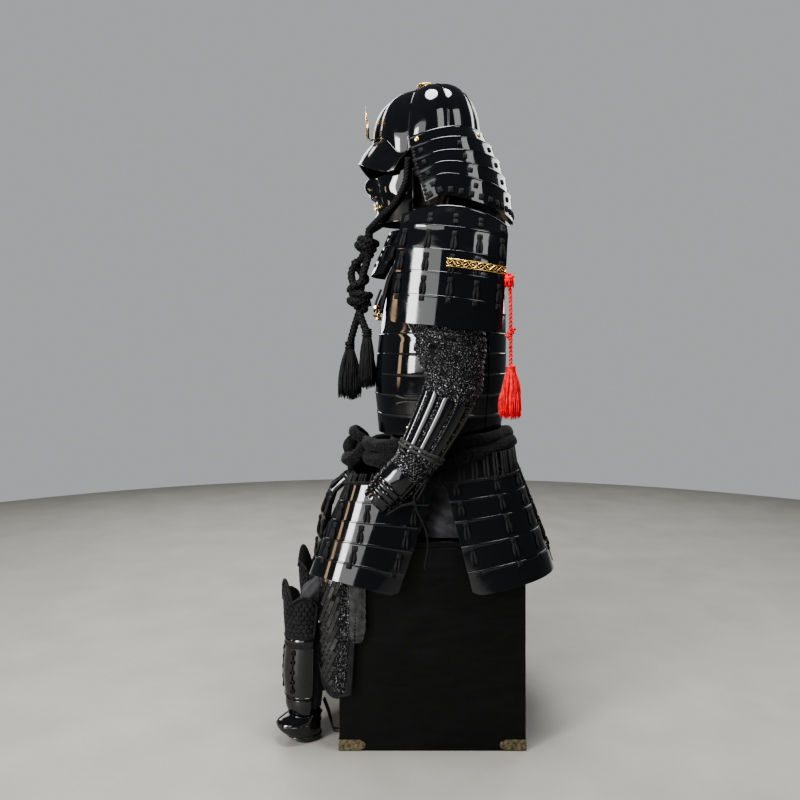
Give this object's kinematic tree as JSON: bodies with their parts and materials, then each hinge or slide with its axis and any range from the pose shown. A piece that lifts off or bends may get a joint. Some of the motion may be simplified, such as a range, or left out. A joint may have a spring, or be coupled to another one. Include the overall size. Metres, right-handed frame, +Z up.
{
  "type": "samurai armour on an armour stand and storage chest",
  "caption": "Black lacquered and laced samurai armour with helmet, mask, sleeves, tassets and shin guards, seated on a chest.",
  "frame": {"origin": "centre of the chest's underside, on the floor", "axes": "+Z up, the armour faces -Y, its own left side is +X"},
  "size_m": [0.5464, 0.588, 1.396],
  "materials": {
    "lacquer": "gloss black lacquer on plate",
    "lacing": "flat black silk braid",
    "gold": "polished gilt",
    "mail": "blackened iron rings",
    "cloth": "matt black cotton",
    "crepe": "ribbed black crepe",
    "black_cord": "round braided cord",
    "red_silk": "red silk cord and tassel",
    "chest_lacquer": "satin black lacquer on board",
    "old_brass": "aged brass",
    "stand_wood": "dark stained wood"
  },
  "bodies": {
    "root": {"chest_body": "chest_lacquer", "chest_lid": "chest_lacquer", "chest_corner_front_left": "old_brass", "chest_corner_front_right": "old_brass", "chest_corner_rear_left": "old_brass", "chest_corner_rear_right": "old_brass", "armour_stand": "stand_wood", "helmet_bowl": "lacquer", "visor": "lacquer", "crown_ornament": "gold", "crest": "gold", "neck_guard_band": "lacquer", "neck_guard_1": "lacquer", "neck_guard_2": "lacquer", "neck_guard_3": "lacquer", "neck_guard_4": "lacquer", "mask": "lacquer", "throat_guard": "lacquer", "cuirass_front": "lacquer", "cuirass_back": "lacquer", "shoulder_strap_left": "cloth", "shoulder_strap_right": "cloth", "shoulder_guard_crown_left": "lacquer", "shoulder_guard_crown_right": "lacquer", "shoulder_guard_lames_left": "lacquer", "shoulder_guard_lames_right": "lacquer", "gold_bar_left": "gold", "gold_bar_right": "gold", "red_cord_left": "red_silk", "red_cord_right": "red_silk", "red_tassel_left": "red_silk", "red_tassel_right": "red_silk", "sleeve_left": "mail", "sleeve_right": "mail", "forearm_left": "lacquer", "forearm_right": "lacquer", "hand_guard_left": "lacquer", "hand_guard_right": "lacquer", "sash": "crepe", "tasset_front": "lacquer", "tasset_front_left": "lacquer", "tasset_front_right": "lacquer", "tasset_back_left": "lacquer", "tasset_back_right": "lacquer", "tasset_back": "lacquer", "thigh_guard_left": "mail", "thigh_guard_right": "mail", "trousers_seat": "cloth", "trouser_leg_left": "cloth", "trouser_leg_right": "cloth", "shin_guard_left": "lacquer", "shin_guard_right": "lacquer", "shoe_left": "lacquer", "shoe_right": "lacquer", "chin_cord_left": "black_cord", "chin_cord_right": "black_cord", "chin_knot": "black_cord", "chin_tassel_front": "black_cord", "chin_tassel_rear": "black_cord", "wrist_cord_left": "black_cord"}
  },
  "joints": []
}
